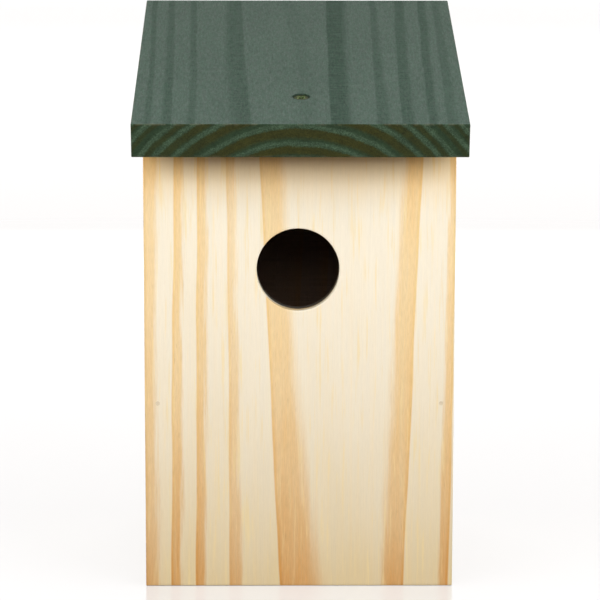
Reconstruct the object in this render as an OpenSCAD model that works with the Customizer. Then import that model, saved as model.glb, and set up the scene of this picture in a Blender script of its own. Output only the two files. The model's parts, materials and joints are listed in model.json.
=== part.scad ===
// Timber nest box with a hinged, sloping roof board.
// Millimetres, +Z up. The origin is the middle of the base, the front faces -Y and +X is its right.
// The four walls are plain boards: front and back lie over the ends of the two sides, and the
// floor sits between all four. The roof board turns on two small butt hinges behind the back
// wall, and one countersunk screw through its front holds it shut.

/* [Box] */
// Outside width of the box
body_w = 120; // [100:1:160]
// Outside depth of the box, from front face to back face
body_d = 120; // [100:1:160]
// Thickness of the wall and floor boards
board_t = 10; // [9:0.5:12]
// Height of the front face, up to the underside of the roof
front_h = 178; // [160:1:240]
// How much higher the back face is than the front face
roof_rise = 31; // [20:1:45]

/* [Entrance and drainage] */
// Diameter of the entrance hole
entrance_d = 32; // [25:1:50]
// Height of the entrance hole's centre above the base
entrance_z = 125.5; // [80:0.5:130]
// Sideways place of the entrance hole from the centre line
entrance_x = -0.6; // [-5:0.1:5]
// Diameter of each drainage hole in the floor
drain_d = 6; // [4:0.5:10]
// Distance of the drainage holes from the inner faces of the walls
drain_inset = 18; // [12:1:30]

/* [Roof] */
// Thickness of the roof board
roof_t = 13.3; // [12.5:0.1:18]
// How far the roof stands out past each side of the box
side_overhang = 3.25; // [0:0.25:20]
// How far the underside of the roof stands out past the front face, measured level
front_overhang = 24; // [12:1:60]

/* [Roof screw] */
// Diameter of the roof screw
screw_d = 3.5; // [3:0.5:4]
// Diameter of the roof screw's countersunk head
screw_head_d = 6.5; // [6:0.1:7.5]
// Length of the roof screw with its head
screw_len = 25; // [20:1:25]
// How far the head is sunk below the top of the roof
screw_sink = 0.4; // [0:0.1:1.5]
// Sideways place of the roof screw from the centre line
screw_x = 0.5; // [-5:0.1:5]

/* [Hinges] */
// Length of each hinge along its pin
hinge_len = 30; // [26:1:40]
// Distance of each hinge's middle from the centre line
hinge_x = 34; // [22:1:40]
// Reach of each hinge leaf from the pin's axis
leaf_reach = 11.4; // [11:0.1:12]
// Thickness of the hinge leaves
leaf_t = 0.8; // [0.6:0.1:1]
// Outside diameter of the hinge knuckles
knuckle_d = 4; // [3.6:0.1:4.4]
// Diameter of the hinge pins
pin_d = 2; // [1.8:0.1:2]

/* [Hanger] */
// Width of the hanger plate
hanger_w = 46; // [40:1:60]
// Height of the hanger plate
hanger_h = 24; // [22:1:30]
// Thickness of the hanger plate
hanger_t = 1.5; // [1:0.1:2]
// Height of the keyhole's round opening above the base
hanger_z = 164; // [120:1:165]
// Diameter of the keyhole's round opening, which a screw head passes
keyhole_d = 9; // [8:0.5:10]
// Width of the keyhole's slot, which the screw's neck rises in
keyhole_slot_w = 4.4; // [3.5:0.1:5]
// How far the keyhole's slot rises above the centre of its round opening
keyhole_rise = 9; // [7:0.5:9]

/* [Brads] */
// Diameter of the headless brads that pin the boards together
brad_d = 1.6; // [1.2:0.1:2]
// Length of the brads
brad_len = 24; // [18:1:28]
// Height of the front wall's brads above the base
front_brad_z = 73; // [30:1:120]

/* [Hidden] */
$fn = 64;

// Overlap that lets a cut run clear of the faces it passes through
cut = 1;
// Inside size of the box between its walls
inner_w = body_w - 2 * board_t;
inner_d = body_d - 2 * board_t;
// Faces of the box along Y
front_y = -body_d / 2;
back_y = body_d / 2;
// Slope of the roof and of the wall tops under it
roof_angle = atan(roof_rise / body_d);
back_h = front_h + roof_rise;
roof_w = body_w + 2 * side_overhang;
// Length of the roof board along its slope
roof_len = (body_d + front_overhang) / cos(roof_angle);
// Gap under the shut roof, so that it closes without binding on the walls
roof_gap = 0.05;

// Gap between hinge knuckles and anything that turns past them
hinge_gap = 0.3;
// Distance of the pin's axis from the wood faces that the leaves lie on
axis_off = knuckle_d / 2 + hinge_gap;
axis_y = back_y + axis_off;
axis_z = back_h + axis_off * tan(roof_angle / 2);
// The middle knuckle belongs to the roof leaf and the two outer ones to the body leaf
middle_knuckle = 0.45 * hinge_len;
// How far past the pin's axis a leaf's flat part begins
leaf_start = 0.5;
// Radial play of the pin in the roof leaf's knuckle
pin_play = 0.06;
pin_cap_d = pin_d + 1.2;
pin_cap_t = 0.7;
leaf_corner_r = 2;

// Small countersunk screws of the hinges and the hanger plate
small_d = 2.4;
small_head_d = 4.4;
small_len = 9;
small_tip = 2.5;
// Screw places on a hinge leaf: along the pin from its middle, and out from the axis
leaf_screw_x = 0.3 * hinge_len;
leaf_screw_out = 6.8;
hanger_screw_x = hanger_w / 2 - 6;
// Height of the hanger plate's middle, so that its keyhole is centred in it
hanger_mid_z = hanger_z + (keyhole_rise + keyhole_slot_w / 2 - keyhole_d / 2) / 2;
hanger_corner_r = 4;
// Pocket behind the keyhole, which the hanging screw's head rises in
pocket_d = keyhole_d + 3;
pocket_depth = 6;

// Thickness of a countersunk head's rim
rim_t = 0.3;
screw_tip = 4;
// Play round the roof screw in the roof, and in the front wall, where its thread would bite:
// the wider hole lets the roof swing up with the screw still in it
roof_hole_play = 0.25;
wall_hole_play = 0.45;
seat_play = 0.12;
// Play round a screw or brad that never moves in its hole
fixed_play = 0.02;
brad_tip = 1.5;
// Depth of a brad's end below the face it was driven through
brad_sink = 0.2;
// Brads of the back wall, by height, and of the floor, by distance from the middle
back_brad_heights = [30, 100, 170];
floor_brad_y = 0.3 * inner_d;

pine = "#f0dcb4";
stain = "#4f6257";
zinc = "#b9bdc1";
yellow_zinc = "#8f8a4e";

// Height of the roof's underside above the base at a distance y from the middle
function under_roof(y) = front_h + (y - front_y) * tan(roof_angle);

// Side outline of a wall between two places along Y, cut to the roof's slope
module wall_outline(y0, y1) {
    polygon([[y0, 0], [y1, 0], [y1, under_roof(y1) - roof_gap], [y0, under_roof(y0) - roof_gap]]);
}

// A wall board from x0 to x1, with its top bevelled to the slope
module wall(x0, x1, y0, y1) {
    translate([x0, 0, 0])
        rotate([90, 0, 90])
            linear_extrude(height = x1 - x0)
                wall_outline(y0, y1);
}

// Places its children on the roof's slope: origin on the underside above the front face,
// +Y up the slope and +Z square to the board
module on_roof() {
    translate([0, front_y, front_h])
        rotate([roof_angle, 0, 0])
            children();
}

// Places its children at the roof screw: origin at the top of its head, -Z along the screw
module at_roof_screw() {
    on_roof()
        translate([screw_x, (board_t / 2) / cos(roof_angle), roof_t - screw_sink])
            children();
}

// Body of a countersunk screw, head at the origin and point down
module screw_body(d, head_d, len, tip) {
    shoulder = rim_t + (head_d - d) / 2;
    rotate_extrude()
        polygon([
            [0, 0], [head_d / 2, 0], [head_d / 2, -rim_t], [d / 2, -shoulder],
            [d / 2, tip - len], [0.3, -len], [0, -len]
        ]);
}

// A countersunk screw with a cross recess in its head
module screw(d, head_d, len, tip) {
    recess_w = 0.17 * head_d;
    recess_len = 0.56 * head_d;
    recess_depth = 0.24 * head_d;
    difference() {
        screw_body(d, head_d, len, tip);
        for (turn = [0, 90])
            rotate([0, 0, turn])
                translate([-recess_len / 2, -recess_w / 2, -recess_depth])
                    cube([recess_len, recess_w, recess_depth + cut]);
    }
}

// Hole for a screw that never moves: the screw's own shape with a little play
module screw_hole(d, head_d, len, tip) {
    screw_body(d + 2 * fixed_play, head_d + 2 * fixed_play, len + fixed_play, tip);
    cylinder(d = head_d + 2 * fixed_play, h = cut);
}

module small_screw() {
    screw(small_d, small_head_d, small_len, small_tip);
}

module small_screw_hole() {
    screw_hole(small_d, small_head_d, small_len, small_tip);
}

// A headless brad, end at the origin and point down
module brad(play = 0) {
    rotate_extrude()
        polygon([
            [0, play], [brad_d / 2 + play, play], [brad_d / 2 + play, brad_tip - brad_len],
            [0.2 + play, -brad_len - play], [0, -brad_len - play]
        ]);
}

// Hole for a brad, open at the face it was driven through
module brad_hole() {
    brad(fixed_play);
    cylinder(d = brad_d + 2 * fixed_play, h = brad_sink + cut);
}

// Brads through the front wall into the edges of the sides
module at_front_brads() {
    for (side = [-1, 1])
        translate([side * (body_w - board_t) / 2, front_y + brad_sink, front_brad_z])
            rotate([90, 0, 0])
                children();
}

// Brads through the back wall into the edges of the sides
module at_back_brads() {
    for (side = [-1, 1], z = back_brad_heights)
        translate([side * (body_w - board_t) / 2, back_y - brad_sink, z])
            rotate([-90, 0, 0])
                children();
}

// Brads through the sides into the edges of the floor
module at_floor_brads() {
    for (side = [-1, 1], y = [-floor_brad_y, floor_brad_y])
        translate([side * (body_w / 2 - brad_sink), y, board_t / 2])
            rotate([0, side * 90, 0])
                children();
}

// Places its children on a hinge's axis, which lies along X
module at_hinge(side) {
    translate([side * hinge_x, axis_y, axis_z])
        children();
}

// Turns a leaf that hangs from the axis into one that stands on the roof's rear edge
module roof_leaf_place() {
    rotate([roof_angle, 0, 0])
        mirror([0, 0, 1])
            children();
}

// Places its children on both screws of a hanging leaf: origin on the leaf's outer face
module at_leaf_screws() {
    for (x = [-leaf_screw_x, leaf_screw_x])
        translate([x, leaf_t - axis_off, -leaf_screw_out])
            rotate([-90, 0, 0])
                children();
}

module at_hanger_screws() {
    for (x = [-hanger_screw_x, hanger_screw_x])
        translate([x, back_y + hanger_t, hanger_mid_z])
            rotate([-90, 0, 0])
                children();
}

// A knuckle or a pin along the axis, centred on it
module on_axis(d, len) {
    rotate([0, 90, 0])
        cylinder(d = d, h = len, center = true);
}

// Flat part of a hanging leaf, with its two lower corners rounded
module leaf_plate() {
    reach = leaf_reach - leaf_corner_r;
    half = hinge_len / 2;
    translate([0, leaf_t - axis_off, 0])
        rotate([90, 0, 0])
            linear_extrude(height = leaf_t) {
                translate([-half, -reach])
                    square([hinge_len, reach - leaf_start]);
                translate([leaf_corner_r - half, -leaf_reach])
                    square([hinge_len - 2 * leaf_corner_r, leaf_corner_r + cut]);
                for (x = [leaf_corner_r - half, half - leaf_corner_r])
                    translate([x, -reach])
                        circle(r = leaf_corner_r);
            }
}

// The lengths along the axis that the body leaf's knuckles take up
module outer_stretches(d) {
    outer = (hinge_len - middle_knuckle) / 2;
    for (side = [-1, 1])
        translate([side * (hinge_len - outer) / 2, 0, 0])
            on_axis(d, outer);
}

// A hanging leaf with its knuckles. A leaf is notched where the other leaf's knuckles turn.
module leaf(outer_knuckles, bore_d) {
    notch_d = knuckle_d + 2 * hinge_gap;
    difference() {
        union() {
            difference() {
                leaf_plate();
                if (outer_knuckles)
                    translate([-middle_knuckle / 2 - hinge_gap, -axis_off - cut, -notch_d / 2])
                        cube([middle_knuckle + 2 * hinge_gap, notch_d, notch_d]);
                else
                    for (side = [0, 1])
                        mirror([side, 0, 0])
                            translate([middle_knuckle / 2 - hinge_gap, -axis_off - cut, -notch_d / 2])
                                cube([hinge_len / 2, notch_d, notch_d]);
            }
            if (outer_knuckles)
                outer_stretches(knuckle_d);
            else
                on_axis(knuckle_d, middle_knuckle - 2 * hinge_gap);
        }
        on_axis(bore_d, hinge_len + cut);
        at_leaf_screws() small_screw_hole();
    }
}

// Outline of the hanger plate, on its back
module hanger_outline() {
    w = hanger_w / 2 - hanger_corner_r;
    h = hanger_h / 2 - hanger_corner_r;
    square([hanger_w, 2 * h], center = true);
    square([2 * w, hanger_h], center = true);
    for (x = [-w, w], z = [-h, h])
        translate([x, z])
            circle(r = hanger_corner_r);
}

// A round opening of diameter d with a slot of width slot_w and a round end rising from it
module keyhole(d, slot_w, depth) {
    cylinder(d = d, h = depth);
    translate([0, keyhole_rise, 0])
        cylinder(d = slot_w, h = depth);
    translate([-slot_w / 2, 0, 0])
        cube([slot_w, keyhole_rise, depth]);
}

// Places its children on the keyhole's axis: +Z runs inwards from the back face of the box,
// and +Y stays upwards
module at_keyhole(out) {
    translate([0, back_y + out, hanger_z])
        rotate([90, 0, 0])
            children();
}

module front_panel() {
    color(pine)
        difference() {
            wall(-body_w / 2, body_w / 2, front_y, front_y + board_t);
            translate([entrance_x, front_y - cut, entrance_z])
                rotate([-90, 0, 0])
                    cylinder(d = entrance_d, h = board_t + 2 * cut, $fn = 128);
            at_roof_screw() front_wall_screw_hole();
            at_front_brads() brad_hole();
        }
}

// The roof screw's hole in the front wall: straight as far as the screw's own straight part,
// then narrowing with its point
module front_wall_screw_hole() {
    r = screw_d / 2 + wall_hole_play;
    rotate_extrude()
        polygon([
            [0, cut], [r, cut], [r, screw_tip - screw_len],
            [1, -screw_len - wall_hole_play], [0, -screw_len - wall_hole_play]
        ]);
}

module back_panel() {
    color(pine)
        difference() {
            wall(-body_w / 2, body_w / 2, back_y - board_t, back_y);
            at_keyhole(cut) keyhole(pocket_d, pocket_d, pocket_depth + cut);
            at_hanger_screws() small_screw_hole();
            for (side = [-1, 1])
                at_hinge(side) at_leaf_screws() small_screw_hole();
            at_back_brads() brad_hole();
        }
}

// A side wall: side is -1 for the left one and 1 for the right one
module side_panel(side) {
    x0 = side * (body_w - board_t) / 2 - board_t / 2;
    color(pine)
        difference() {
            wall(x0, x0 + board_t, front_y + board_t, back_y - board_t);
            at_front_brads() brad_hole();
            at_back_brads() brad_hole();
            at_floor_brads() brad_hole();
        }
}

module floor_panel() {
    drain_x = inner_w / 2 - drain_inset;
    drain_y = inner_d / 2 - drain_inset;
    color(pine)
        difference() {
            translate([-inner_w / 2, -inner_d / 2, 0])
                cube([inner_w, inner_d, board_t]);
            for (x = [-drain_x, drain_x], y = [-drain_y, drain_y])
                translate([x, y, -cut])
                    cylinder(d = drain_d, h = board_t + 2 * cut);
            at_floor_brads() brad_hole();
        }
}

module roof_panel() {
    color(stain)
        difference() {
            on_roof()
                translate([-roof_w / 2, -front_overhang / cos(roof_angle), 0])
                    cube([roof_w, roof_len, roof_t]);
            at_roof_screw() roof_screw_hole();
            for (side = [-1, 1])
                at_hinge(side) roof_leaf_place() at_leaf_screws() small_screw_hole();
        }
}

// The roof screw's hole in the roof: a sunk seat for the head over a plain clearance hole
module roof_screw_hole() {
    head_r = screw_head_d / 2 + seat_play;
    shank_r = screw_d / 2 + roof_hole_play;
    rotate_extrude()
        polygon([
            [0, screw_sink + cut], [head_r, screw_sink + cut], [head_r, -rim_t - seat_play],
            [shank_r, -rim_t - seat_play - (head_r - shank_r)], [shank_r, -roof_t - cut],
            [0, -roof_t - cut]
        ]);
}

module roof_screw() {
    color(yellow_zinc)
        at_roof_screw()
            screw(screw_d, screw_head_d, screw_len, screw_tip);
}

module hinge_body_leaf(side) {
    color(zinc)
        at_hinge(side)
            leaf(true, pin_d);
}

module hinge_roof_leaf(side) {
    color(zinc)
        at_hinge(side)
            roof_leaf_place()
                leaf(false, pin_d + 2 * pin_play);
}

// A hinge pin with both ends spread so that it can't slip out
module hinge_pin(side) {
    color(zinc)
        at_hinge(side) {
            on_axis(pin_d, hinge_len);
            for (end = [-1, 1])
                translate([end * (hinge_len + pin_cap_t) / 2, 0, 0])
                    on_axis(pin_cap_d, pin_cap_t);
        }
}

module hinge_body_screws() {
    color(zinc)
        for (side = [-1, 1])
            at_hinge(side) at_leaf_screws() small_screw();
}

module hinge_roof_screws() {
    color(zinc)
        for (side = [-1, 1])
            at_hinge(side) roof_leaf_place() at_leaf_screws() small_screw();
}

module hanger_plate() {
    color(zinc)
        difference() {
            translate([0, back_y + hanger_t, hanger_mid_z])
                rotate([90, 0, 0])
                    linear_extrude(height = hanger_t)
                        hanger_outline();
            at_keyhole(hanger_t + cut) keyhole(keyhole_d, keyhole_slot_w, hanger_t + 2 * cut);
            at_hanger_screws() small_screw_hole();
        }
}

module hanger_screws() {
    color(zinc)
        at_hanger_screws() small_screw();
}

module front_panel_brads() {
    color(zinc)
        at_front_brads() brad();
}

module back_panel_brads() {
    color(zinc)
        at_back_brads() brad();
}

module floor_brads() {
    color(zinc)
        at_floor_brads() brad();
}

front_panel();
back_panel();
side_panel(-1);  // left_side_panel
side_panel(1);  // right_side_panel
floor_panel();
roof_panel();
roof_screw();
hinge_body_leaf(-1);  // left_hinge_body_leaf
hinge_body_leaf(1);  // right_hinge_body_leaf
hinge_roof_leaf(-1);  // left_hinge_roof_leaf
hinge_roof_leaf(1);  // right_hinge_roof_leaf
hinge_pin(-1);  // left_hinge_pin
hinge_pin(1);  // right_hinge_pin
hinge_body_screws();
hinge_roof_screws();
hanger_plate();
hanger_screws();
front_panel_brads();
back_panel_brads();
floor_brads();
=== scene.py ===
import json
import math

import bmesh
import bpy
from mathutils import Matrix, Vector


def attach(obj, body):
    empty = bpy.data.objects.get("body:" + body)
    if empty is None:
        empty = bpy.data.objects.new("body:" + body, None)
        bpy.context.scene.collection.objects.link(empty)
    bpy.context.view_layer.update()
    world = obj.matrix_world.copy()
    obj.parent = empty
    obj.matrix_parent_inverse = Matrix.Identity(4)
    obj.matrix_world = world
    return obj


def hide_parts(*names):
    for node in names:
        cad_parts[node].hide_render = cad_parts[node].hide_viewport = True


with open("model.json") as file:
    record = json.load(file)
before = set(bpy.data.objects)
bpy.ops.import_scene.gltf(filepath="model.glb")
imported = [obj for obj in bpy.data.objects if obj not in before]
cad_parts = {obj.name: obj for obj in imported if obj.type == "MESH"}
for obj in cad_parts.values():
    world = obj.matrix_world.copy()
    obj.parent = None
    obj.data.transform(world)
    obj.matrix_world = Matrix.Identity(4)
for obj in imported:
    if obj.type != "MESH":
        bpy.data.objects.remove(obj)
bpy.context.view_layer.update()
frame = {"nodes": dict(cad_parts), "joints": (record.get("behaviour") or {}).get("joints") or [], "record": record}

# Looks of the nest box, in metres and in the CAD frame: eased boards with their own grain,
# threaded screws, hinges, hanger and brads, on a white sweep under soft light. Wood is worked out
# in millimetres on each board: u across its face, v through its thickness, w along its grain.

MM = 0.001
# Corner points of a mesh that are closer than this, in metres, are one point
WELD = 1e-7

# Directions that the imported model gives
JOINTS = {joint["name"]: joint for joint in frame["joints"]}
ROOF_UP = Vector(JOINTS["roof_screw_withdraw"]["axis"]).normalized()
RIGHT = Vector((1, 0, 0))
BACK = Vector((0, 1, 0))
UP = Vector((0, 0, 1))
UP_SLOPE = ROOF_UP.cross(RIGHT)

# Front board: latewood bands, from left to right on its face. Each row holds the side of the band
# that ends sharply (-1 left, 1 right), the place of that edge, the band's width and its strength.
# Places and widths are given at the foot, the middle and the top of the board, in mm.
FRONT_BANDS = (
    (-1, (-69, -70, -71), (4, 4, 4), 0.9),
    (-1, (-60.2, -60.2, -60.2), (5.6, 4.6, 6), 0.94),
    (-1, (-50, -49.2, -48.2), (4, 3.7, 3.6), 1),
    (-1, (-40.2, -39.8, -39.4), (3.6, 3.6, 3.8), 0.95),
    (-1, (-27.2, -27.5, -28.6), (4.2, 3.6, 3), 0.8),
    (-1, (-7.6, -11.8, -16), (15.5, 9.6, 9), 0.96),
    (1, (41.0, 44.2, 47.6), (8.6, 7.8, 6.2), 1),
    (1, (58.3, 59.7, 60), (3.6, 3.4, 2.2), 0.95),
    (1, (70, 71, 72), (4, 4, 4), 0.9),
)
# Middle of the rings across the front board, and how far in front of its face they centre
FRONT_PITH = (15, 40)
# Roof board: inner and outer radius of each latewood band, about a centre under the board
ROOF_BANDS = (
    (44.5, 48), (50.5, 54.8), (58, 62), (64, 67.5), (69.5, 72), (75.8, 78), (80.6, 82.6),
)
ROOF_PITH = (-1, -43)
# Roof board: stripes across its top that have drunk in more stain. Each row holds the way that the
# stripe fades (-1 left, 1 right), the place of its sharp edge, its width and its strength. Places
# and widths are given at the front, the middle and the back of the roof, in mm.
ROOF_STRIPES = (
    (-1, (-55.8, -57, -58.5), (2.4, 2, 2.2), 0.6),
    (-1, (-48.3, -49.4, -51.4), (3.5, 3.2, 2.4), 0.65),
    (-1, (-39, -40.4, -42.4), (2.8, 2.5, 2.4), 0.6),
    (-1, (-18.3, -21.3, -23.8), (7, 7.4, 5.5), 0.68),
    (1, (-1, -1, -8), (6, 5, 7), 0.2),
    (1, (11.5, 11.6, 12.2), (7, 7.2, 7.5), 1),
    (1, (28.4, 29.3, 30), (5, 3.6, 2.6), 0.6),
    (1, (38, 38.8, 40.4), (4.6, 4.2, 4), 0.75),
    (1, (48, 48.9, 50.3), (3.2, 3.3, 3.3), 0.75),
    (1, (54.8, 55.7, 56.4), (4, 3.5, 2.6), 0.5),
)


# ---------------------------------------------------------------- shader building

class Field:
    """One value that varies over a surface. Arithmetic on it adds Math nodes to its shader."""

    def __init__(self, shader, socket):
        self.shader = shader
        self.socket = socket

    def __add__(self, other):
        return self.shader.math("ADD", self, other)

    def __sub__(self, other):
        return self.shader.math("SUBTRACT", self, other)

    def __rsub__(self, other):
        return self.shader.math("SUBTRACT", other, self)

    def __mul__(self, other):
        return self.shader.math("MULTIPLY", self, other)

    def __truediv__(self, other):
        return self.shader.math("DIVIDE", self, other)

    def __pow__(self, other):
        return self.shader.math("POWER", self, other)

    __radd__ = __add__
    __rmul__ = __mul__

    def abs(self):
        return self.shader.math("ABSOLUTE", self)

    def sqrt(self):
        return self.shader.math("SQRT", self)

    def sign(self):
        return self.shader.math("SIGN", self)

    def fraction(self):
        return self.shader.math("FRACT", self)

    def floor(self):
        return self.shader.math("FLOOR", self)

    def clamp(self):
        return self.shader.math("ADD", self, 0, clamp=True)

    def least(self, other):
        return self.shader.math("MINIMUM", self, other)

    def most(self, other):
        return self.shader.math("MAXIMUM", self, other)

    def rise(self, low, high):
        """0 below low and 1 above high, with a smooth step between them."""
        return self.shader.rise(self, low, high)


class Shader:
    """One material's nodes. Each method adds nodes and gives the value that comes out of them."""

    def __init__(self, name):
        self.material = bpy.data.materials.new(name)
        self.material.use_nodes = True
        self.tree = self.material.node_tree
        self.surface = self.tree.nodes["Principled BSDF"]
        self.coordinates = self.tree.nodes.new("ShaderNodeTexCoord")

    def feed(self, socket, value):
        if isinstance(value, Field):
            self.tree.links.new(value.socket, socket)
        else:
            socket.default_value = value

    def node(self, kind, values, **settings):
        node = self.tree.nodes.new(kind)
        for name, value in settings.items():
            setattr(node, name, value)
        for key, value in values.items():
            self.feed(node.inputs[key], value)
        return node

    def math(self, operation, *values, clamp=False):
        node = self.node(
            "ShaderNodeMath", dict(enumerate(values)), operation=operation, use_clamp=clamp
        )
        return Field(self, node.outputs[0])

    def rise(self, value, low, high):
        values = {"Value": value, "From Min": low, "From Max": high}
        node = self.node("ShaderNodeMapRange", values, interpolation_type="SMOOTHSTEP")
        return Field(self, node.outputs[0])

    def dot(self, vector, direction):
        node = self.node(
            "ShaderNodeVectorMath", {0: vector, 1: direction}, operation="DOT_PRODUCT"
        )
        return Field(self, node.outputs["Value"])

    def place(self):
        return Field(self, self.coordinates.outputs["Object"])

    def normal(self):
        """The surface's own normal, in the piece's space, so that it turns with the piece."""
        return Field(self, self.coordinates.outputs["Normal"])

    def along(self, origin, direction):
        """Distance in mm from origin along a direction."""
        shifted = self.node(
            "ShaderNodeVectorMath", {0: self.place(), 1: origin}, operation="SUBTRACT"
        )
        return self.dot(Field(self, shifted.outputs[0]), direction) / MM

    def plain_place(self):
        """The point's place in mm along the CAD's own axes."""
        return [self.along(Vector(), axis) for axis in (RIGHT, BACK, UP)]

    def noise(self, place, size, seed=0, detail=2.0, roughness=0.5):
        """Noise from 0 to 1 about 0.5, whose features measure size along each of place's axes."""
        shifted = [p / s + seed * 7.31 for p, s in zip(place, size)]
        point = self.node("ShaderNodeCombineXYZ", dict(enumerate(shifted)))
        values = {
            "Vector": Field(self, point.outputs[0]), "Scale": 1.0, "Detail": detail,
            "Roughness": roughness,
        }
        return Field(self, self.node("ShaderNodeTexNoise", values).outputs[0])

    def random(self, value):
        """One random number from 0 to 1 for each whole value."""
        node = self.node("ShaderNodeTexWhiteNoise", {"W": value}, noise_dimensions="1D")
        return Field(self, node.outputs["Value"])

    def curve(self, value, points):
        node = self.node("ShaderNodeFloatCurve", {"Value": value})
        line = node.mapping.curves[0]
        for spot, point in zip(line.points, (points[0], points[-1])):
            spot.location = point
        for point in points[1:-1]:
            line.points.new(*point)
        for spot in line.points:
            spot.handle_type = "VECTOR"
        node.mapping.update()
        return Field(self, node.outputs[0])

    def mix(self, factor, first, second, blend="MIX"):
        """Mixes two colours, each a Field or three numbers."""
        pair = [c if isinstance(c, Field) else (*c, 1) for c in (first, second)]
        node = self.node(
            "ShaderNodeMix", {0: factor, 6: pair[0], 7: pair[1]}, data_type="RGBA",
            blend_type=blend,
        )
        return Field(self, node.outputs[2])

    def scale(self, colour, value):
        """A colour made lighter or darker by a value."""
        node = self.node(
            "ShaderNodeVectorMath", {0: colour, "Scale": value}, operation="SCALE"
        )
        return Field(self, node.outputs[0])

    def finish(self, colour, roughness, height, **constants):
        """Feeds the surface. height is in mm; each constant goes straight to its own socket."""
        bump = self.node("ShaderNodeBump", {"Strength": 1.0, "Distance": MM, "Height": height})
        self.feed(self.surface.inputs["Base Color"], colour)
        self.feed(self.surface.inputs["Roughness"], roughness)
        self.feed(self.surface.inputs["Normal"], Field(self, bump.outputs[0]))
        for name, value in constants.items():
            self.surface.inputs[name.replace("_", " ")].default_value = value
        return self.material


# ---------------------------------------------------------------- boards

def span(node, direction):
    """Lowest and highest reach of a CAD node along a direction."""
    reach = [vertex.co.dot(direction) for vertex in frame["nodes"][node].data.vertices]
    return min(reach), max(reach)


class Board:
    """A board's node and its own directions: across its face, through it and along its grain."""

    def __init__(self, node, across, through, grain):
        self.node = node
        self.axes = (across, through, grain)
        spans = [span(node, axis) for axis in self.axes]
        middles = [axis * ((low + high) / 2) for axis, (low, high) in zip(self.axes, spans)]
        self.centre = sum(middles, Vector())
        self.half = [(high - low) / 2 / MM for low, high in spans]

    def place(self, shader):
        """The point's u, v and w on the board, in mm from its centre."""
        return [shader.along(self.centre, axis) for axis in self.axes]

    def end_grain(self, shader):
        """1 on the sawn ends of the board and 0 on its faces and edges."""
        return shader.dot(shader.normal(), self.axes[2]).abs().rise(0.5, 0.85)

    def edge_distance(self, shader, place):
        """Distance in mm to the nearest corner line of the board."""
        du, dv, dw = [half - p.abs() for half, p in zip(self.half, place)]
        return du.least(dv).most(du.most(dv).least(dw))


def band(shader, inside, width, soft=0.3, ragged=0):
    """A latewood band: inside is the distance in from its sharp edge, and it fades past width."""
    sharp = inside.rise(-soft, soft)
    fade = shader.rise(inside + ragged, width * 0.7, width * 1.3)
    return sharp * (1 - fade)


def edge_line(inside, soft=0.3):
    """The densest wood of a latewood band: a line along its sharp edge."""
    return inside.rise(-soft, soft) * (1 - inside.rise(soft, 1.5))


def at_height(h, values):
    """A curve through three values: at h = -1, 0 and 1."""
    low, middle, high = values
    return middle + h * ((high - low) / 2) + h * h * ((high + low) / 2 - middle)


def front_rings(shader, board, place):
    """How much of the front board is latewood, from 0 to 1."""
    u, v, w = place
    pith_u, pith_v = FRONT_PITH
    depth = v + board.half[1]
    # A ring that is deeper in the board meets the face further from the middle of the rings
    off = u - pith_u
    seen = off.sign() * (off * off + depth * (depth + 2 * pith_v)).sqrt() + pith_u
    wander = shader.noise(place, (30, 30, 45), seed=3, detail=1.0) - 0.5
    seen = seen + wander * 1.6
    h = w / board.half[2]
    fray = shader.noise(place, (0.7, 0.7, 16), seed=5, detail=3.0, roughness=0.6) - 0.5
    shred = shader.noise(place, (2.5, 2.5, 40), seed=6, detail=1.0) - 0.5
    ragged = fray * 3.0 + shred * 3.0
    late = None
    for side, edge, width, strength in FRONT_BANDS:
        inside = (seen - at_height(h, edge)) * -side
        body = band(shader, inside, at_height(h, width), ragged=ragged)
        mask = (body * 0.84 + edge_line(inside) * 0.2) * strength
        late = mask if late is None else late.most(mask)
    return late


def round_rings(pith, spacing, seed):
    """Rings about a centre at pith = (u, v), for a board whose rings aren't set out one by one."""

    def rings(shader, board, place):
        u, v, _ = place
        lean = (shader.noise(place, (60, 60, 170), seed=seed, detail=1.0) - 0.5) * 9
        ripple = (shader.noise(place, (14, 14, 70), seed=seed + 1, detail=1.0) - 0.5) * 1.5
        du = u - pith[0]
        dv = v - pith[1]
        radius = (du * du + dv * dv).sqrt() + lean + ripple
        uneven = (shader.noise((radius, u * 0, v * 0), (11, 1, 1), seed=seed + 2) - 0.5) * 1.1
        index = radius / spacing + uneven
        profile = ((0, 0), (0.42, 0.04), (0.72, 0.55), (0.86, 1), (0.955, 1), (1, 0))
        late = shader.curve(index.fraction(), profile)
        return late * (0.6 + shader.random(index.floor() + seed) * 0.4)

    return rings


def roof_rings(shader, board, place):
    """On the sawn ends of the roof board: how much is latewood, how much is the pale stripe
    outside each band of it, and fine lines that run along the rings."""
    u, v, w = place
    # The rings centre below the underside of the board
    centre_v = ROOF_PITH[1] - board.half[1]
    lean = (shader.noise(place, (50, 60, 120), seed=21, detail=1.0) - 0.5) * 4
    ripple = (shader.noise(place, (9, 9, 40), seed=22, detail=2.0) - 0.5) * 1.3
    fray = (shader.noise(place, (0.5, 0.5, 3), seed=23, detail=2.0) - 0.5) * 1.6
    du = u - ROOF_PITH[0]
    dv = v - centre_v
    radius = (du * du + dv * dv).sqrt() + lean + ripple + fray
    late = None
    line = None
    for inner, outer in ROOF_BANDS:
        mask = band(shader, outer - radius, (outer - inner) * 0.85, soft=0.5)
        pale = 1 - (radius - outer - 1.0).abs().rise(0.3, 1.5)
        late = mask if late is None else late.most(mask)
        line = pale if line is None else line.most(pale)
    lines = shader.noise((radius, u, w), (0.4, 5, 5), seed=26, detail=2.0, roughness=0.6) - 0.5
    return late, line, lines


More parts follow.
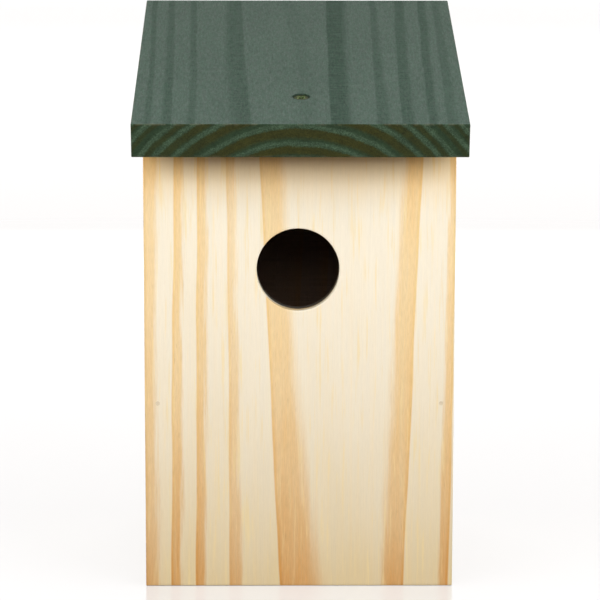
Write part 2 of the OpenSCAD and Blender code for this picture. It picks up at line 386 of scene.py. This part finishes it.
def roof_stripes(shader, board, place):
    """How much of the roof's planed faces has drunk in more stain."""
    u, _, w = place
    h = w / board.half[2]
    wander = (shader.noise(place, (14, 14, 30), seed=24, detail=2.0) - 0.5) * 1.5
    fray = (shader.noise(place, (0.8, 0.8, 9), seed=25, detail=2.0) - 0.5) * 1.4
    seen = u + wander
    dark = None
    for side, edge, width, strength in ROOF_STRIPES:
        inside = (seen - at_height(h, edge)) * side
        drunk = band(shader, inside, at_height(h, width), soft=0.45, ragged=fray) * strength
        dark = drunk if dark is None else dark.most(drunk)
    return dark


# Bare pine, pale and warm: earlywood and latewood of each
PALE = ((0.85, 0.776, 0.61), (0.80, 0.57, 0.255))
WARM = ((0.76, 0.615, 0.35), (0.63, 0.295, 0.065))
# Streaks of resin, dark dashes in the grain, and rough-sawn inner faces, painted dark as painted shade inside the
# box
PINE_YELLOW = (0.86, 0.69, 0.34)
PINE_DARK = (0.36, 0.17, 0.06)
PINE_SAWN_AND_SHADE = (0.30, 0.165, 0.09)
# Painted shade: tints of the front wall under the roof, right at the roof, and of its latewood there
PAINTED_SHADE_UNDER_ROOF = (1, 0.8, 0.5)
PAINTED_SHADE_AT_ROOF = (1, 0.94, 0.86)
PAINTED_SHADE_AT_ROOF_LATE = (0.8, 0.6, 0.5)
# How light sawn wood is, painted dark as shade inside the box, and how much painted shade darkens it deep in the
# entrance hole
SAWN_AND_SHADE_LIGHT = 0.8
BORE_PAINTED_SHADE = 0.76


def rough_shaded_bore(board, place, bore):
    """1 in the deeper part of a hole through a board, which is rough and is painted with the shade in
    the hole, and 0 on the rest of the board. bore is the hole's centre, as (u, w), and its radius,
    in mm."""
    u, v, w = place
    (bore_u, bore_w), radius = bore
    off = ((u - bore_u) ** 2 + (w - bore_w) ** 2).sqrt()
    depth = v + board.half[1]
    return depth.rise(3.7, 5.2) * (1 - off.rise(radius + 0.3, radius + 0.9))


def painted_roof_shade(shader, board, place, late, colour):
    """Painted shade: the top of the front wall, under the roof, is tinted warm and darker, and its latewood there
    redder.
    """
    below = board.half[2] - place[2]
    colour = shader.mix(1 - below.rise(5, 36), colour, PAINTED_SHADE_UNDER_ROOF, blend="MULTIPLY")
    colour = shader.mix(1 - below.rise(1, 7), colour, PAINTED_SHADE_AT_ROOF, blend="MULTIPLY")
    painted_redder = (1 - below.rise(1, 9)) * late
    return shader.mix(painted_redder, colour, PAINTED_SHADE_AT_ROOF_LATE, blend="MULTIPLY")


def bare_pine(board, name, rings, seed, sawn, tones=(0.35, 0.35), bore=None):
    """Planed bare pine. sawn is the direction that the board's rough-sawn inner face looks in; that
    face is also painted dark, as painted shade inside the box. Its tone, from 0, pale, to 1, warm,
    is given at the foot and at the top; a difference between them is painted light, a paler top
    and a warmer, darker foot. bore is a hole through the front board, as its centre (u, w) and its
    radius in mm; with it come painted shade deep in the hole and painted shade under the roof."""
    shader = Shader(name)
    place = board.place(shader)
    w = place[2]
    late = rings(shader, board, place)

    fibre = shader.noise(place, (0.35, 0.35, 28), seed=seed, detail=3.0, roughness=0.6) - 0.5
    streak = shader.noise(place, (1.6, 1.6, 90), seed=seed + 1, detail=2.0) - 0.5
    cloud = shader.noise(place, (16, 16, 60), seed=seed + 2, detail=2.0) - 0.5
    resin = shader.noise(place, (1.1, 1.1, 24), seed=seed + 3, detail=2.0).rise(0.54, 0.74)
    dash = shader.noise(place, (0.32, 0.32, 5), seed=seed + 4, detail=1.0).rise(0.66, 0.78)
    saw = shader.noise(place, (40, 40, 0.9), seed=seed + 5, detail=2.0) - 0.5
    fleck = shader.noise(
        place, (0.45, 0.45, 4.5), seed=seed + 6, detail=3.0, roughness=0.65
    ) - 0.5

    # Painted light: when the tones differ, the foot is painted warmer and darker for less light there, and the top
    # paler where light washes it out
    painted_foot_shade = (0.5 - w / (2 * board.half[2])).clamp() ** 3.2
    tone = (tones[1] + painted_foot_shade * (tones[0] - tones[1]) + cloud * 0.4 + streak * 0.4).clamp()
    late = (late * (1 + cloud * 0.35) + streak * 0.12 + fibre * late * 0.4).clamp()

    early_colour = shader.mix(tone, PALE[0], WARM[0])
    late_colour = shader.mix(tone, PALE[1], WARM[1])
    colour = shader.mix(late, early_colour, late_colour)
    colour = shader.mix(resin * (0.6 - late * 0.3), colour, PINE_YELLOW)
    colour = shader.mix(dash * (0.06 + late * 0.22), colour, PINE_DARK)
    end = board.end_grain(shader)
    edge = 1 - board.edge_distance(shader, place).rise(0.1, 1.3)
    light = 1 + fibre * 0.12 + fleck * (0.1 + late * 0.3) + streak * 0.1 - end * 0.2 - edge * 0.07
    height = late * 0.018 + fibre * 0.035 - dash * 0.03 + end * fibre * 0.12
    roughness = 0.6 - late * 0.1 + fibre * 0.2 + end * 0.2

    # Inner faces are rough-sawn and painted dark, as painted shade inside the box
    rough = shader.dot(shader.normal(), sawn).rise(0.5, 0.9)
    sawn_and_shade_light = saw * 0.35 + SAWN_AND_SHADE_LIGHT
    if bore:
        # Deep in the entrance hole the wood is rougher and painted darker, as painted shade
        deep = rough_shaded_bore(board, place, bore)
        rough = rough.most(deep)
        sawn_and_shade_light = sawn_and_shade_light - deep * BORE_PAINTED_SHADE
        roughness = roughness + deep * 0.4
    sawn_and_shaded_wood = shader.scale(shader.mix(late * 0.5, PINE_SAWN_AND_SHADE, PINE_DARK), sawn_and_shade_light)
    colour = shader.mix(rough * 0.93, colour, sawn_and_shaded_wood)
    height = height + rough * (saw * 0.35 + fibre * 0.15)
    # Painted shade under the roof, on the front board
    if bore:
        colour = painted_roof_shade(shader, board, place, late, colour)

    return shader.finish(
        shader.scale(colour, light), roughness, height, Specular_IOR_Level=0.35
    )


# Green stain on planed faces and on sawn ends, over earlywood and latewood of each
STAIN_FACE = ((0.068, 0.113, 0.0855), (0.0305, 0.0655, 0.0435))
STAIN_END = ((0.021, 0.041, 0.020), (0.031, 0.033, 0.007))
# On the sawn ends: latewood far from the middle, and the pale stripe outside each band
STAIN_FLANK = (0.021, 0.034, 0.013)
STAIN_LINE = (0.050, 0.086, 0.050)
# Rubbed edges, the tint of the mottling, and stain pooled round the screw, with painted shade in its countersink
STAIN_WORN = (0.16, 0.15, 0.10)
STAIN_MOTTLE = (1.10, 0.97, 1.04)
POOLED_STAIN_AND_SHADE = (0.008, 0.020, 0.010)
# Where the pooled stain and painted shade end, as radii about the roof screw in mm, and where they end on the
# screw's head
POOL_AND_SHADE_EDGE = (3.1, 3.9)
POOL_AND_SHADE_ON_HEAD = (2.3, 3.0)
# Painted light: how much paler the roof is painted half-way up its slope
PAINTED_SLOPE_LIGHT = 0.09


def stained_pine(board, name):
    """Pine with a thin matt green stain, which its sawn ends drink in."""
    shader = Shader(name)
    place = board.place(shader)
    late, line, lines = roof_rings(shader, board, place)
    dark = roof_stripes(shader, board, place)
    fibre = shader.noise(place, (0.4, 0.4, 12), seed=31, detail=3.0, roughness=0.65) - 0.5
    streak = shader.noise(place, (2.2, 2.2, 60), seed=32, detail=3.0) - 0.5
    cloud = shader.noise(place, (18, 18, 40), seed=33, detail=3.0) - 0.5
    grit = shader.noise(place, (0.45, 0.45, 1.3), seed=34, detail=2.0) - 0.5
    chatter = shader.noise(place, (4, 4, 0.7), seed=35, detail=1.0) - 0.5

    end = board.end_grain(shader)
    mottle = shader.noise(place, (1.5, 1.5, 3.5), seed=38, detail=3.0, roughness=0.6)
    dark = (dark * (1 + cloud * 0.5 + fibre * 0.3) + streak * 0.3 + fibre * 0.2).clamp()
    face = shader.mix(dark, *STAIN_FACE)
    face = shader.mix(mottle.rise(0.42, 0.62), face, STAIN_MOTTLE, blend="MULTIPLY")
    # Away from the middle the rings meet the sawn end more steeply and it takes up more stain
    flank = place[0].abs().rise(25, 60) * 0.7
    brown = shader.mix(flank, STAIN_END[1], STAIN_FLANK)
    sawn = shader.mix((late * (1 + cloud * 0.6) + grit * 0.7).clamp(), STAIN_END[0], brown)
    sawn = shader.mix((line * (0.7 + grit * 1.2 + lines)).clamp(), sawn, STAIN_LINE)
    colour = shader.mix(end, face, sawn)
    # Pooled stain and painted shade in the countersink of the roof screw
    head, _ = solid_axes("roof_screw", ROOF_UP)[0]
    across, along = [
        p - (head - board.centre).dot(axis) / MM
        for p, axis in zip((place[0], place[2]), (board.axes[0], board.axes[2]))
    ]
    off_axis = (across * across + along * along).sqrt()
    colour = shader.mix((1 - off_axis.rise(*POOL_AND_SHADE_EDGE)) * 0.85, colour, POOLED_STAIN_AND_SHADE)
    rub = 1 - board.edge_distance(shader, place).rise(0.0, 1.1)
    patch = shader.noise(place, (3, 3, 7), seed=36, detail=3.0).rise(0.46, 0.62)
    colour = shader.mix(rub * patch * 0.25, colour, STAIN_WORN)
    nap = shader.noise(place, (0.7, 0.7, 4), seed=37, detail=3.0, roughness=0.65) - 0.5
    # Painted light: the high side of the roof is a little paler
    light = (
        1 + fibre * 0.6 + cloud * 0.25 + grit * 0.85 + nap * 1.1 + (mottle - 0.5) * 0.5
        + chatter * dark + lines * end * 0.8
        + (place[2] / board.half[2] + 1) * PAINTED_SLOPE_LIGHT
    )
    height = fibre * 0.05 + grit * 0.03 + end * grit * 0.15 + chatter * dark * 0.04
    roughness = 0.6 + fibre * 0.15 + end * 0.3
    return shader.finish(
        shader.scale(colour, light), roughness, height, Specular_IOR_Level=0.12
    )


def islands(node):
    """The corner points of each separate solid in a CAD node."""
    form = bmesh.new()
    form.from_mesh(frame["nodes"][node].data)
    bmesh.ops.remove_doubles(form, verts=form.verts, dist=WELD)
    left = set(form.verts)
    found = []
    while left:
        group = {left.pop()}
        fresh = set(group)
        while fresh:
            near = {edge.other_vert(vert) for vert in fresh for edge in vert.link_edges}
            fresh = near - group
            group |= fresh
        left -= group
        found.append([vert.co.copy() for vert in group])
    form.free()
    return found


def solid_axes(node, axis):
    """For each solid of a node that is round about an axis: the point on the axis at its far end
    in that direction, and its length."""
    side = axis.orthogonal().normalized()
    other = axis.cross(side)
    found = []
    for points in islands(node):
        reach = {d: [p.dot(v) for p in points] for d, v in enumerate((side, other, axis))}
        middle = [(min(reach[d]) + max(reach[d])) / 2 for d in (0, 1)]
        end = max(reach[2])
        found.append((side * middle[0] + other * middle[1] + axis * end, end - min(reach[2])))
    return sorted(found, key=lambda item: tuple(round(c, 5) for c in item[0]))


def eased_form(node, ease, segments, chosen):
    """A CAD node's mesh, its flat faces made whole and its chosen edges eased."""
    form = bmesh.new()
    form.from_mesh(frame["nodes"][node].data)
    bmesh.ops.remove_doubles(form, verts=form.verts, dist=WELD)
    bmesh.ops.dissolve_limit(
        form, angle_limit=math.radians(0.2), verts=form.verts, edges=form.edges
    )
    edges = [edge for edge in form.edges if edge.is_manifold and chosen(edge)]
    bmesh.ops.bevel(
        form, geom=edges, offset=ease, segments=segments, profile=0.5, affect="EDGES",
        clamp_overlap=True,
    )
    return form


def shown_piece(name, form, material):
    """Puts a piece in the scene, smooth-shaded with its flat faces kept flat."""
    mesh = bpy.data.meshes.new(name)
    form.to_mesh(mesh)
    form.free()
    piece = bpy.data.objects.new(name, mesh)
    bpy.context.scene.collection.objects.link(piece)
    mesh.shade_smooth()
    piece.modifiers.new("flat faces", "WEIGHTED_NORMAL").keep_sharp = True
    mesh.set_sharp_from_angle(angle=math.radians(40))
    mesh.materials.append(material)
    return piece


def add_board(board, body, material, ease, rim=None):
    """Puts a board in the scene, its long edges eased. rim picks other edges to ease."""
    long_edge = 1.5 * board.half[1] * MM

    def chosen(edge):
        picked = edge.calc_length() > long_edge or (rim and rim(edge))
        return picked and edge.calc_face_angle() > math.radians(30)

    form = eased_form(board.node, ease, 3, chosen)
    piece = shown_piece(board.node + "_board", form, material)
    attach(piece, body)
    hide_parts(board.node)


HOLE = next(mount for mount in frame["record"]["mounts"] if mount["name"] == "entrance_hole")
HOLE_CENTRE = Vector(HOLE["pos_m"])
HOLE_RADIUS = HOLE["dims"]["r_mm"] * MM


def entrance_rim(edge):
    """True for the edges round the entrance hole, at either face of the front board."""
    out = [vertex.co - HOLE_CENTRE for vertex in edge.verts]
    return all(abs(math.hypot(p.x, p.z) - HOLE_RADIUS) < 0.1 * MM for p in out)


front = Board("front_panel", RIGHT, BACK, UP)
back = Board("back_panel", RIGHT, BACK, UP)
left = Board("left_side_panel", BACK, RIGHT, UP)
right = Board("right_side_panel", BACK, RIGHT, UP)
floor = Board("floor_panel", BACK, UP, RIGHT)
roof = Board("roof_panel", RIGHT, ROOF_UP, UP_SLOPE)

front_hole = (
    [(HOLE_CENTRE.dot(axis) - front.centre.dot(axis)) / MM for axis in (RIGHT, UP)],
    HOLE_RADIUS / MM,
)
# The front board is painted warmer and darker at its foot and paler at its top, for how light falls on it
front_pine = bare_pine(
    front, "front pine", front_rings, 1, BACK, tones=(1, 0), bore=front_hole
)
add_board(front, "box", front_pine, 0.35 * MM, rim=entrance_rim)

# The other bare boards: name of the material, middle of the rings as (u, v) and their spacing in
# mm, seed of the grain, the way that the sawn face looks, and how far the edges are eased in mm
BARE_BOARDS = (
    (back, "back pine", (-12, -34), 6.5, 50, -BACK, 0.4),
    (left, "left pine", (20, 30), 7.5, 60, RIGHT, 0.4),
    (right, "right pine", (-26, -38), 6, 70, -RIGHT, 0.4),
    (floor, "floor pine", (5, 28), 6, 80, UP, 0.3),
)
for board, name, pith, spacing, seed, sawn, ease in BARE_BOARDS:
    pine = bare_pine(board, name, round_rings(pith, spacing, seed), seed, sawn)
    add_board(board, "box", pine, ease * MM)

add_board(roof, "roof", stained_pine(roof, "stained pine"), 0.35 * MM)


# ---------------------------------------------------------------- hardware

def join_rings(form, rings):
    """Joins rings of vertices, all of one length, into an open skin."""
    count = len(rings[0])
    for low, high in zip(rings, rings[1:]):
        for i in range(count):
            after = (i + 1) % count
            form.faces.new((low[i], high[i], high[after], low[after]))


def lathe(form, top, axis, profile, columns=32):
    """Turns a profile of (depth below top, radius) in mm about an axis, into a closed solid."""
    side = axis.orthogonal().normalized() * MM
    other = axis.cross(side)
    turns = [math.tau * i / columns for i in range(columns)]
    rings = [
        [form.verts.new(top - axis * depth * MM + (side * math.cos(t) + other * math.sin(t)) * r)
         for t in turns]
        for depth, r in profile
    ]
    join_rings(form, rings)
    form.faces.new(rings[0])
    form.faces.new(rings[-1][::-1])


def cross_outline(reach, half, steps=4):
    """Outline of a cross recess, anticlockwise: half the length and half the width of its arms,
    and the number of steps along each of its edges."""
    corners = [(reach, -half), (reach, half), (half, half), (half, reach)]
    points = []
    for quarter in range(4):
        turn = math.pi / 2 * quarter
        c, s = math.cos(turn), math.sin(turn)
        for start, end in zip(corners, corners[1:]):
            for i in range(steps):
                x, y = (a + (b - a) * i / steps for a, b in zip(start, end))
                points.append((x * c - y * s, x * s + y * c))
    return points


# Cross recess of a screw, from its floor up: half the length and half the width of its arms and
# its depth, as shares of the head's width. Then the depth of its point.
RECESS = ((0.12, 0.055, 0.24), (0.25, 0.075, 0.06), (0.275, 0.083, 0.012), (0.285, 0.09, 0))
RECESS_POINT = 0.27
# Top of the head from the recess out: share of the head's width, and depth in mm
HEAD_TOP = ((0.36, 0), (0.485, 0), (0.5, 0.07), (0.5, 0.3))
# One turn of thread: share of the pitch, and share of the thread's height
THREAD = ((0, 0), (0.38, 0), (0.49, 1), (0.55, 1), (0.7, 0))
# Radius of the thread's root, as a share of the shank's width
ROOT = 0.36


def add_thread(form, spot, angles, depths, radii, tip, pitch):
    """The thread of a screw, down to its point: one left-hand strip that winds down the shank.
    spot gives the place at an angle, radius and depth. depths are where the thread begins and
    ends, and radii are those of its root and its crest."""
    begin, end = depths
    root, crest = radii
    # The rows are held between the two depths. The strip starts a turn early and stops late, so
    # that the held rows close both its ends.
    grid = []
    for turn in range(-1, math.ceil((end - begin) / pitch) + 3):
        for phase, rise in THREAD:
            line = []
            for angle in angles:
                down = begin + pitch * (turn + phase + angle / math.tau)
                held = min(max(down, begin), end)
                taper = min(1, (end - held) / tip)
                grown = min(1, max(0, (down - begin) / pitch), max(0, (end - down) / tip))
                radius = root * taper + rise * grown * (crest - root)
                line.append(form.verts.new(spot(angle, radius, held)))
            grid.append(line)
    for row in range(len(grid) - len(THREAD) - 1):
        for i in range(len(angles)):
            # The last column meets the first one a full turn further down
            after, on = (i + 1, row) if i + 1 < len(angles) else (0, row + len(THREAD))
            form.faces.new(
                (grid[row][i], grid[row + 1][i], grid[on + 1][after], grid[on][after])
            )


def add_screw(form, top, axis, size):
    """A threaded countersunk wood screw with a cross recess. axis points out of its head, and
    size holds its shank, head, length, point and pitch, in mm."""
    shank, head, length, tip, pitch = size
    side = axis.orthogonal().normalized()
    other = axis.cross(side)
    # Every ring has as many points as the cross, each in the same direction from the middle
    angles = [math.atan2(y, x) for x, y in cross_outline(0.28, 0.085)]
    angles = [angles[0] + (angle - angles[0]) % math.tau for angle in angles]

    def spot(angle, radius, depth):
        out = side * math.cos(angle) + other * math.sin(angle)
        return top + (out * radius - axis * depth) * MM

    def circle(radius, depth):
        return [form.verts.new(spot(angle, radius, depth)) for angle in angles]

    def cross(reach, half, depth):
        return [
            form.verts.new(top + (side * x + other * y - axis * depth) * MM)
            for x, y in cross_outline(reach, half)
        ]

    cone_end = HEAD_TOP[-1][1] + (head - shank) / 2
    neck = cone_end + 0.08 * length
    begin = neck + 0.15 * shank
    root, crest = shank * ROOT, shank / 2
    rings = [cross(reach * head, half * head, depth * head) for reach, half, depth in RECESS]
    rings += [circle(share * head, depth) for share, depth in HEAD_TOP]
    rings += [circle(crest, cone_end), circle(crest, neck), circle(root, begin)]
    join_rings(form, rings)
    point = form.verts.new(top - axis * RECESS_POINT * head * MM)
    for i, vert in enumerate(rings[0]):
        form.faces.new((point, vert, rings[0][(i + 1) % len(angles)]))
    add_thread(form, spot, angles, (begin, length), (root, crest), tip, pitch)


def hardware_piece(name, body, slot, material, form, *nodes):
    """Puts a small piece in the scene, its doubled points welded and its faces turned outward."""
    bmesh.ops.remove_doubles(form, verts=form.verts, dist=WELD)
    bmesh.ops.dissolve_degenerate(form, dist=WELD, edges=form.edges)
    bmesh.ops.recalc_face_normals(form, faces=form.faces)
    piece = shown_piece(name, form, material)
    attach(piece, body)
    if nodes:
        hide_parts(*nodes)


def add_screws(node, body, slot, material, axis, size):
    """Threads the screws of a node. size holds their shank, head, point and pitch, in mm."""
    shank, head, tip, pitch = size
    form = bmesh.new()
    for top, length in solid_axes(node, axis):
        add_screw(form, top, axis, (shank, head, length / MM, tip, pitch))
    hardware_piece(node + "_threaded", body, slot, material, form, node)


def eased_steel(node, body, material, ease):
    """A copy of a steel CAD node with its outside corners eased."""

    def outside(edge):
        return edge.is_convex and edge.calc_face_angle() > math.radians(40)

    form = eased_form(node, ease, 2, outside)
    hardware_piece(node + "_eased", body, "zinc_steel", material, form, node)


def plated_steel(name, colour, tint, dull, rough=0.3, grime=0.15, pooled_and_shaded=None):
    """Plated steel: plate that clouds from colour to tint, with fine rolling lines, and scuffs of
    a dull colour. The last argument is the axis of a screw head whose rim is dull all round, from
    pooled stain and painted shade, as a point and two directions across the axis."""
    shader = Shader(name)
    place = shader.plain_place()
    cloud = shader.noise(place, (2.5, 2.5, 2.5), seed=1, detail=3.0)
    grain = shader.noise(place, (3.0, 0.12, 0.12), seed=2, detail=2.0)
    speck = shader.noise(place, (0.35, 0.35, 0.35), seed=3, detail=2.0).rise(0.62, 0.75)
    scuff = shader.noise(place, (0.25, 0.25, 2.2), seed=4, detail=2.0).rise(0.6, 0.7)
    plate = shader.mix(cloud.rise(0.3, 0.7), colour, tint)
    plate = shader.mix((speck * grime + scuff * grime * 0.5).clamp(), plate, dull)
    if pooled_and_shaded:
        point, *sides = pooled_and_shaded
        x, y = (shader.along(point, side) for side in sides)
        off_axis = (x * x + y * y).sqrt()
        # Painted shade with pooled stain: the rim of the screw head is dull all round
        plate = shader.mix(off_axis.rise(*POOL_AND_SHADE_ON_HEAD) * 0.9, plate, dull)
    roughness = rough + cloud * 0.15 + speck * 0.25 + scuff * 0.1
    height = grain * 0.006 + speck * 0.004 - scuff * 0.003
    return shader.finish(
        shader.scale(plate, 0.92 + grain * 0.16), roughness, height, Metallic=1.0
    )


zinc = plated_steel("zinc plate", (0.56, 0.58, 0.60), (0.66, 0.66, 0.65), (0.25, 0.24, 0.22))
stained_zinc = plated_steel(
    "stained yellow zinc", (0.075, 0.11, 0.045), (0.12, 0.14, 0.06), (0.02, 0.045, 0.025),
    rough=0.5, grime=0.9, pooled_and_shaded=(solid_axes("roof_screw", ROOF_UP)[0][0], RIGHT, UP_SLOPE),
)
wire = plated_steel(
    "bare wire", (0.36, 0.34, 0.31), (0.45, 0.43, 0.40), (0.16, 0.10, 0.06), rough=0.4, grime=0.6
)

# Shank, head, point and pitch of the screws, in mm
ROOF_SCREW = (3.5, 6.5, 4, 1.5)
SMALL_SCREW = (2.4, 4.4, 2.5, 1.0)

add_screws("roof_screw", "screw", "yellow_zinc", stained_zinc, ROOF_UP, ROOF_SCREW)
add_screws("hinge_body_screws", "box", "zinc_steel", zinc, BACK, SMALL_SCREW)
add_screws("hinge_roof_screws", "roof", "zinc_steel", zinc, UP_SLOPE, SMALL_SCREW)
add_screws("hanger_screws", "box", "zinc_steel", zinc, BACK, SMALL_SCREW)

# How far the corners of the hinge leaves and of the hanger plate are eased
LEAF_EASE = 0.12 * MM
PLATE_EASE = 0.2 * MM
# Each end of a hinge pin is spread into a low dome: depth below the end and radius, in mm
PIN_DOME = ((0, 0.5), (0.06, 0.95), (0.2, 1.35), (0.42, 1.6), (0.7, 1.6), (0.7, 1.0))

for side in ("left", "right"):
    eased_steel(side + "_hinge_body_leaf", "box", zinc, LEAF_EASE)
    eased_steel(side + "_hinge_roof_leaf", "roof", zinc, LEAF_EASE)
    node = side + "_hinge_pin"
    pin = bmesh.new()
    for end, length in solid_axes(node, RIGHT):
        far = tuple((length / MM - depth, radius) for depth, radius in PIN_DOME[::-1])
        lathe(pin, end, RIGHT, PIN_DOME + far)
    hardware_piece(node + "_peened", "box", "zinc_steel", zinc, pin, node)
eased_steel("hanger_plate", "box", zinc, PLATE_EASE)


def add_brads(node, outward):
    """Headless brads whose outer ends face each of the outward directions."""
    form = bmesh.new()
    for axis in outward:
        for end, length in solid_axes(node, axis):
            # Of two opposite directions, each brad is drawn for the one that its end is on
            if len(outward) > 1 and end.dot(axis) < 0:
                continue
            long = length / MM
            profile = ((0, 0.45), (0.03, 0.7), (0.12, 0.8), (long - 1.5, 0.8), (long, 0.15))
            lathe(form, end, axis, profile, columns=20)
    hardware_piece(node + "_drawn", "box", "brad_steel", wire, form, node)


add_brads("front_panel_brads", (-BACK,))
add_brads("back_panel_brads", (BACK,))
add_brads("floor_brads", (RIGHT, -RIGHT))


def wood_filler():
    """Pale filler, a little gritty."""
    shader = Shader("wood filler")
    place = shader.plain_place()
    grit = shader.noise(place, (0.25, 0.25, 0.25), seed=9, detail=2.0) - 0.5
    cloud = shader.noise(place, (1.5, 1.5, 1.5), seed=8) - 0.5
    colour = shader.mix((cloud + 0.5).clamp(), (0.66, 0.55, 0.38), (0.80, 0.69, 0.50))
    return shader.finish(
        shader.scale(colour, 1 + grit * 0.3), 0.75 + grit * 0.2, grit * 0.03 + cloud * 0.02,
        Specular_IOR_Level=0.3,
    )


# Filler over the front brads, dished a little below the wood: how far it stands out from their
# ends, and its profile as depth and radius, in mm
FILLER_RISE = 0.17
FILLER_PROFILE = ((0.05, 0.3), (0.04, 0.6), (0, 0.78), (0.16, 0.78))

filler = bmesh.new()
for end, _ in solid_axes("front_panel_brads", -BACK):
    lathe(filler, end - BACK * FILLER_RISE * MM, -BACK, FILLER_PROFILE, columns=24)
hardware_piece("front_brad_filler", "box", "pine", wood_filler(), filler)


# ---------------------------------------------------------------- stage

# Softboxes: name, turn from the front to the right and rise above the box's middle in degrees,
# distance, width and height in metres, and radiance
SOFTBOXES = (
    ("left softbox", -60, 22, 0.56, (0.66, 0.32), 4.2),
    ("right softbox", 60, 22, 0.56, (0.66, 0.32), 4.55),
    ("front softbox", 0, 21, 0.55, (0.66, 0.177), 3.65),
    ("back softbox", 180, 10, 0.9, (1.1, 0.26), 7.6),
    ("top softbox", 180, 55, 0.5, (0.6, 0.2), 0.7),
)


# The point that the softboxes face, and their colour
LIT_POINT = Vector((0, 0, 0.13))
DAYLIGHT = (0.985, 1, 1.03)


def softbox(name, turn, rise, distance, size, radiance):
    """A soft light that faces the box and that the camera doesn't see."""
    light = bpy.data.lights.new(name, "AREA")
    light.shape = "RECTANGLE"
    light.size, light.size_y = size
    light.energy = radiance * math.pi * size[0] * size[1]
    light.color = DAYLIGHT
    lamp = bpy.data.objects.new(name, light)
    lamp.visible_camera = False
    # The lights behind the box leave no glare on its flat steel fittings
    lamp.visible_glossy = abs(turn) < 90
    turn, rise = math.radians(turn), math.radians(rise)
    flat = math.cos(rise)
    away = Vector((math.sin(turn) * flat, -math.cos(turn) * flat, math.sin(rise)))
    lamp.location = LIT_POINT + away * distance
    lamp.rotation_euler = (-away).to_track_quat("-Z", "Y").to_euler()
    bpy.context.scene.collection.objects.link(lamp)


# The sweep: radius of its flat floor, radius of its bend and height of its wall, in metres
FLOOR_RADIUS, BEND_RADIUS, WALL_HEIGHT = 4.0, 1.5, 5.0
BEND_STEPS, SWEEP_SIDES = 12, 96
# It lies just clear of the box's base, so that the two faces don't share a plane
SWEEP_DROP = 0.05 * MM
# It glows: how brightly at the floor, and how much more between two heights, in mm
FLOOR_GLOW, WALL_GLOW, GLOW_HEIGHTS = 0.43, 0.65, (20, 400)
SWEEP_LOOK = {
    "Base Color": (0.3, 0.3, 0.3, 1), "Roughness": 0.08, "Specular IOR Level": 0.8,
    "Emission Color": (1, 1, 1, 1),
}
WORLD_LOOK = {"Color": (1, 0.6, 0.38, 1), "Strength": 0.12}


def sweep_mesh():
    """A round studio sweep: a flat floor that curves up into a far wall."""
    outline = [(0.6, 0), (FLOOR_RADIUS, 0)]
    for step in range(1, BEND_STEPS + 1):
        angle = math.pi / 2 * step / BEND_STEPS
        outline.append((
            FLOOR_RADIUS + BEND_RADIUS * math.sin(angle), BEND_RADIUS * (1 - math.cos(angle))
        ))
    outline.append((FLOOR_RADIUS + BEND_RADIUS, WALL_HEIGHT))
    points = [(0, 0, 0)]
    for radius, z in outline:
        for side in range(SWEEP_SIDES):
            turn = math.tau * side / SWEEP_SIDES
            points.append((radius * math.cos(turn), radius * math.sin(turn), z))
    faces = [(0, 1 + side, 1 + (side + 1) % SWEEP_SIDES) for side in range(SWEEP_SIDES)]
    for row in range(len(outline) - 1):
        for side in range(SWEEP_SIDES):
            after = (side + 1) % SWEEP_SIDES
            low = 1 + row * SWEEP_SIDES
            high = low + SWEEP_SIDES
            faces.append((low + side, high + side, high + after, low + after))
    mesh = bpy.data.meshes.new("sweep")
    mesh.from_pydata(points, [], faces)
    mesh.shade_smooth()
    return mesh


def build_stage():
    """The sweep, the light that fills the shadows and the softboxes."""
    sweep = bpy.data.objects.new("sweep", sweep_mesh())
    sweep.location.z = -SWEEP_DROP
    bpy.context.scene.collection.objects.link(sweep)
    sweep.visible_diffuse = False
    shader = Shader("white sweep")
    height = shader.along(Vector(), UP)
    glow = height.rise(*GLOW_HEIGHTS) * WALL_GLOW + FLOOR_GLOW
    shader.feed(shader.surface.inputs["Emission Strength"], glow)
    for socket, value in SWEEP_LOOK.items():
        shader.surface.inputs[socket].default_value = value
    sweep.data.materials.append(shader.material)

    world = bpy.data.worlds.new("studio")
    world.use_nodes = True
    for socket, value in WORLD_LOOK.items():
        world.node_tree.nodes["Background"].inputs[socket].default_value = value
    bpy.context.scene.world = world

    for row in SOFTBOXES:
        softbox(*row)


# The camera of the reference view: a long lens just above the roof, looking down a little. Its
# place is in mm; it looks down, to the right and rolls by the angles, in degrees.
CAMERA_PLACE = (-10.6, -1121.6, 292.9)
CAMERA_DOWN, CAMERA_RIGHT, CAMERA_ROLL = 9.58, 0.581, 0.086
LENS, SENSOR_WIDTH = 167.46, 36


def build_camera():
    """The camera, at the reference view."""
    down, aside, roll = (math.radians(a) for a in (CAMERA_DOWN, CAMERA_RIGHT, CAMERA_ROLL))
    data = bpy.data.cameras.new("camera")
    data.sensor_width = SENSOR_WIDTH
    data.lens = LENS
    data.clip_end = 50
    camera = bpy.data.objects.new("camera", data)
    flat = math.cos(down)
    look = Vector((math.sin(aside) * flat, math.cos(aside) * flat, -math.sin(down)))
    turn = look.to_track_quat("-Z", "Y").to_matrix().to_4x4()
    place = Matrix.Translation(Vector(CAMERA_PLACE) * MM)
    camera.matrix_world = place @ turn @ Matrix.Rotation(roll, 4, "Z")
    bpy.context.scene.collection.objects.link(camera)
    bpy.context.scene.camera = camera


build_stage()
build_camera()
bpy.context.scene.view_settings.view_transform = "Standard"
